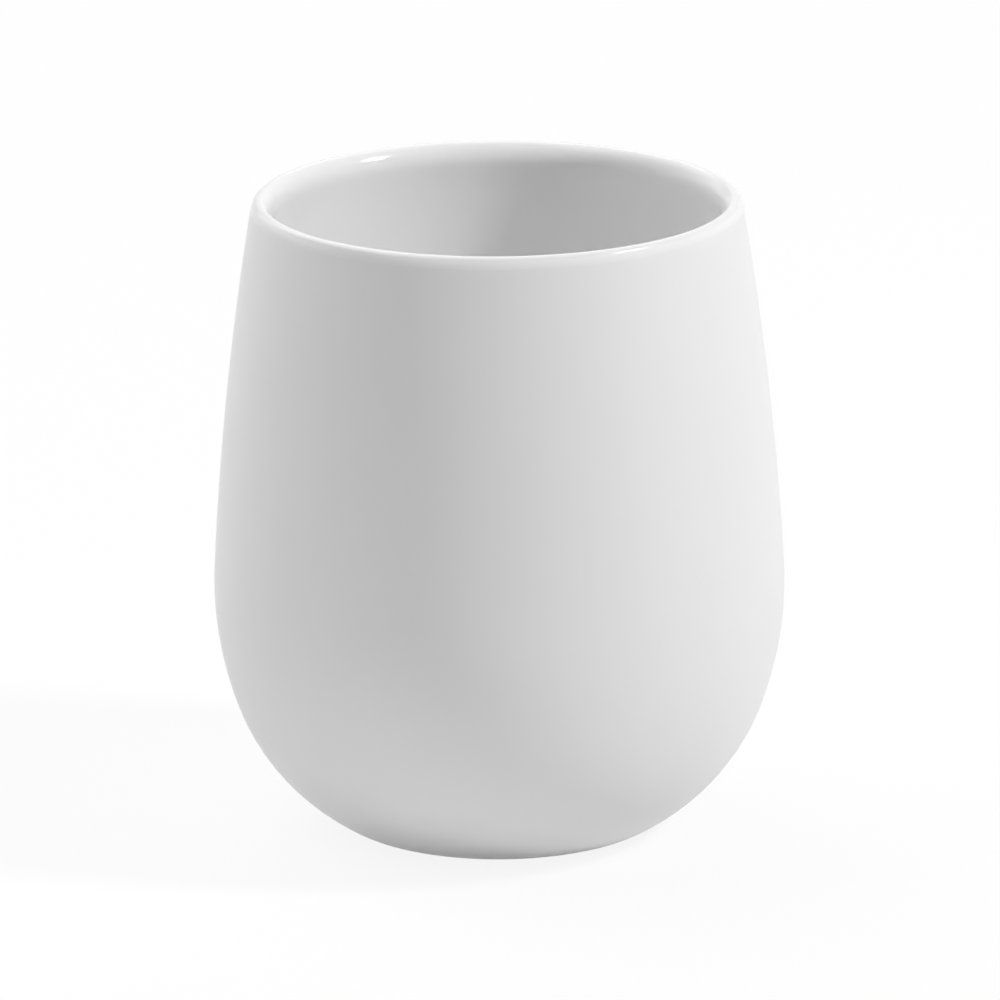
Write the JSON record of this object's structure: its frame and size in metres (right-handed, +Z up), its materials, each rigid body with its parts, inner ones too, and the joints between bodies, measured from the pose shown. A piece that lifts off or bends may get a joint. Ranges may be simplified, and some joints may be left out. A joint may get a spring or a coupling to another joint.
{
  "type": "bathroom tumbler",
  "caption": "Egg-shaped white stoneware bathroom tumbler: narrow round mouth, satin outside, glossy inside, soft pad under its foot; holds rinsing water or toothbrushes.",
  "frame": {"origin": "on the axis, at the surface that the pad stands on", "axes": "+Z up along the axis of the turned form; X and Y are equal"},
  "size_m": [0.083, 0.083, 0.0932],
  "materials": {
    "bare_stoneware": "bare fired stoneware, fine matte grain",
    "gloss_glaze": "white gloss glaze",
    "satin_glaze": "white satin glaze",
    "pad_rubber": "soft matte pad",
    "adhesive_film": "double-sided film"
  },
  "bodies": {
    "root": {"stoneware_body": "bare_stoneware", "inner_gloss_glaze": "gloss_glaze", "outer_satin_glaze": "satin_glaze", "base_pad": "pad_rubber", "pad_adhesive": "adhesive_film"}
  },
  "joints": []
}
